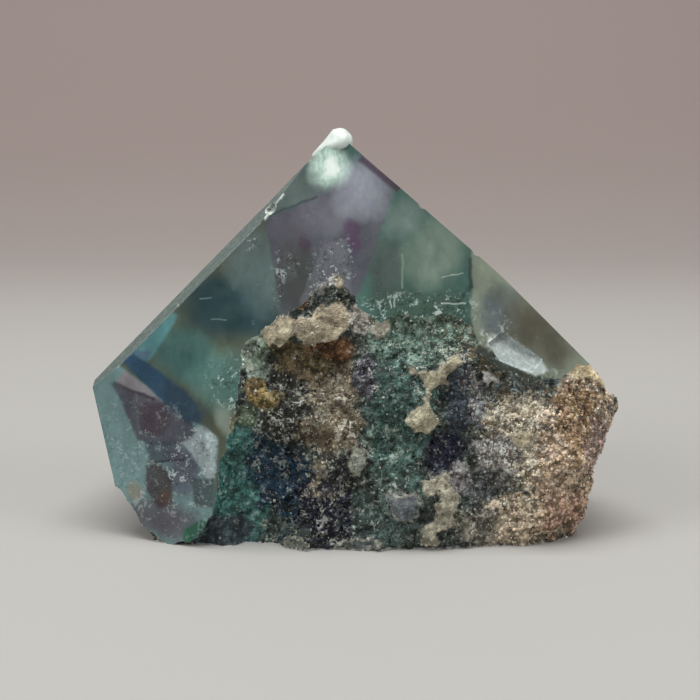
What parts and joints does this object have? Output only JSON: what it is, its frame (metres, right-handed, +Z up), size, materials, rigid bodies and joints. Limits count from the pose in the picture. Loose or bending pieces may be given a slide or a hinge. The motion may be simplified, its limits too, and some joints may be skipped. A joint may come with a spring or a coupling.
{
  "type": "fluorite point",
  "caption": "Free-standing fluorite point: rough crystalline stone sawn flat below, with polished faces meeting at a blunt tip.",
  "frame": {"origin": "middle of the sawn base, on the surface it stands on", "axes": "+X to the right of the stone's polished front, -Y towards the viewer of that front, +Z up to the tip"},
  "size_m": [0.0879, 0.0396, 0.0674],
  "materials": {
    "fluorite": "polished above, natural and crystalline below"
  },
  "bodies": {
    "root": {"fluorite_point": "fluorite"}
  },
  "joints": []
}
